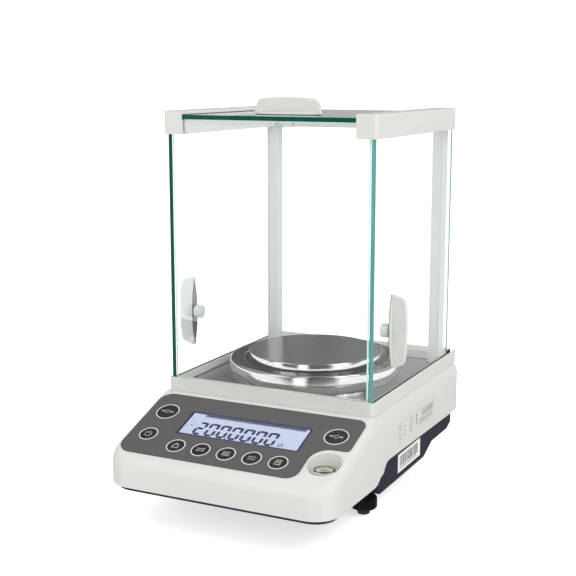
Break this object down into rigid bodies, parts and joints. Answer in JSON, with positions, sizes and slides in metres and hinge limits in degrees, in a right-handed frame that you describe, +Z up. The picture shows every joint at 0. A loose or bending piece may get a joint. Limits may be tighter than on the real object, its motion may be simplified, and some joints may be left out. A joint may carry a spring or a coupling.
{
  "type": "analytical balance",
  "caption": "Analytical balance with sliding glass draught-shield doors, a round lift-off pan and draught ring, a sloped keypad console with display, a level, and screw levelling feet.",
  "frame": {"origin": "centre of the bounding box's footprint, on the surface the feet stand on", "axes": "+X to the user's right, +Y to the back, +Z up"},
  "size_m": [0.201, 0.284, 0.3157],
  "materials": {
    "housing_white": "satin moulded ABS",
    "housing_navy": "fine-grained moulded ABS",
    "floor_metal": "dark satin metal plate",
    "overlay_grey": "printed polycarbonate film",
    "key_trim": "light grey printed ring",
    "display_clear": "clear polycarbonate",
    "display_panel": "backlit display",
    "level_base": "moulded",
    "level_acrylic": "clear acrylic",
    "level_air": "air bubble",
    "post_grey": "satin grey",
    "pane_glass": "clear float glass with green edges",
    "zinc_screw": "zinc plated",
    "cell_alloy": "machined",
    "magnet_steel": "plain",
    "circuit_board": "solder mask",
    "black_plastic": "moulded",
    "port_steel": "nickel plated",
    "foot_rubber": "moulded rubber",
    "brass": "machined",
    "label_film": "printed film",
    "label_paper": "paper sticker",
    "pan_steel": "stainless steel, brushed top and polished rim",
    "ring_steel": "polished stainless steel",
    "key_black": "printed key"
  },
  "bodies": {
    "root": {"upper_housing": "housing_white", "bottom_housing": "housing_navy", "shield_base": "housing_white", "chamber_floor": "floor_metal", "control_overlay": "overlay_grey", "key_rings": "key_trim", "display_window": "display_clear", "display_module": "display_panel", "level_ring": "level_base", "level_vial": "level_acrylic", "level_bubble": "level_air", "rail_left": "housing_white", "rail_right": "housing_white", "rail_rear": "housing_white", "post_left": "post_grey", "post_right": "post_grey", "front_glass": "pane_glass", "rear_glass": "pane_glass", "frame_screws": "zinc_screw", "cell_base": "cell_alloy", "cell_magnet": "magnet_steel", "cell_lever": "cell_alloy", "cell_guides": "cell_alloy", "pan_carrier": "cell_alloy", "main_board": "circuit_board", "keypad_board": "circuit_board", "dc_inlet": "black_plastic", "serial_port": "port_steel", "rear_feet": "foot_rubber", "foot_inserts": "brass", "housing_screws": "zinc_screw", "rating_label": "label_film", "stock_label": "label_paper"},
    "left_door": {"left_door_glass": "pane_glass", "left_door_handle": "housing_white", "left_door_pad": "foot_rubber", "left_door_nut": "housing_white"},
    "right_door": {"right_door_glass": "pane_glass", "right_door_handle": "housing_white", "right_door_pad": "foot_rubber", "right_door_nut": "housing_white"},
    "top_door": {"top_door_glass": "pane_glass", "top_door_handle": "housing_white", "top_door_pad": "foot_rubber", "top_door_nut": "housing_white"},
    "pan": {"weighing_pan": "pan_steel"},
    "ring": {"draught_ring": "ring_steel"},
    "key_tare_left": {"key_tare_left": "key_black"},
    "key_tare_right": {"key_tare_right": "key_black"},
    "key_power": {"key_power": "key_black"},
    "key_calibrate": {"key_calibrate": "key_black"},
    "key_convert": {"key_convert": "key_black"},
    "key_menu": {"key_menu": "key_black"},
    "key_count": {"key_count": "key_black"},
    "key_print": {"key_print": "key_black"},
    "foot_pad_left": {"foot_pad_left": "foot_rubber"},
    "foot_wheel_left": {"foot_wheel_left": "black_plastic"},
    "foot_pad_right": {"foot_pad_right": "foot_rubber"},
    "foot_wheel_right": {"foot_wheel_right": "black_plastic"}
  },
  "joints": [
    {"name": "left_door_slide", "type": "slide", "parent": "root", "child": "left_door", "axis": [0, 1, 0], "range_m": [0, 0.115]},
    {"name": "right_door_slide", "type": "slide", "parent": "root", "child": "right_door", "axis": [0, 1, 0], "range_m": [0, 0.115]},
    {"name": "top_door_slide", "type": "slide", "parent": "root", "child": "top_door", "axis": [0, 1, 0], "range_m": [0, 0.115]},
    {"name": "pan_lift", "type": "slide", "parent": "root", "child": "pan", "axis": [0, 0, 1], "range_m": [0, 0.03]},
    {"name": "ring_lift", "type": "slide", "parent": "root", "child": "ring", "axis": [0, 0, 1], "range_m": [0, 0.02]},
    {"name": "key_tare_left_press", "type": "slide", "parent": "root", "child": "key_tare_left", "axis": [0, -0.3371, 0.9415], "range_m": [-0.0008, 0], "stiffness_N_per_m": 400, "springref_m": 0.0005},
    {"name": "key_tare_right_press", "type": "slide", "parent": "root", "child": "key_tare_right", "axis": [0, -0.3371, 0.9415], "range_m": [-0.0008, 0], "stiffness_N_per_m": 400, "springref_m": 0.0005},
    {"name": "key_power_press", "type": "slide", "parent": "root", "child": "key_power", "axis": [0, -0.3371, 0.9415], "range_m": [-0.0008, 0], "stiffness_N_per_m": 400, "springref_m": 0.0005},
    {"name": "key_calibrate_press", "type": "slide", "parent": "root", "child": "key_calibrate", "axis": [0, -0.3371, 0.9415], "range_m": [-0.0008, 0], "stiffness_N_per_m": 400, "springref_m": 0.0005},
    {"name": "key_convert_press", "type": "slide", "parent": "root", "child": "key_convert", "axis": [0, -0.3371, 0.9415], "range_m": [-0.0008, 0], "stiffness_N_per_m": 400, "springref_m": 0.0005},
    {"name": "key_menu_press", "type": "slide", "parent": "root", "child": "key_menu", "axis": [0, -0.3371, 0.9415], "range_m": [-0.0008, 0], "stiffness_N_per_m": 400, "springref_m": 0.0005},
    {"name": "key_count_press", "type": "slide", "parent": "root", "child": "key_count", "axis": [0, -0.3371, 0.9415], "range_m": [-0.0008, 0], "stiffness_N_per_m": 400, "springref_m": 0.0005},
    {"name": "key_print_press", "type": "slide", "parent": "root", "child": "key_print", "axis": [0, -0.3371, 0.9415], "range_m": [-0.0008, 0], "stiffness_N_per_m": 400, "springref_m": 0.0005},
    {"name": "foot_level_left", "type": "slide", "parent": "root", "child": "foot_pad_left", "axis": [0, 0, 1], "range_m": [-0.004, 0.0025]},
    {"name": "foot_turn_left", "type": "hinge", "parent": "foot_pad_left", "child": "foot_wheel_left", "pos_m": [-0.075, -0.037, 0.0095], "axis": [0, 0, 1], "range_deg": [-1441, 901]},
    {"name": "foot_level_right", "type": "slide", "parent": "root", "child": "foot_pad_right", "axis": [0, 0, 1], "range_m": [-0.004, 0.0025]},
    {"name": "foot_turn_right", "type": "hinge", "parent": "foot_pad_right", "child": "foot_wheel_right", "pos_m": [0.075, -0.037, 0.0095], "axis": [0, 0, 1], "range_deg": [-1441, 901]}
  ],
  "couplings": [
    {"joint": "foot_turn_left", "follows": "foot_level_left", "rad_per_m": 6283.2},
    {"joint": "foot_turn_right", "follows": "foot_level_right", "rad_per_m": 6283.2}
  ]
}
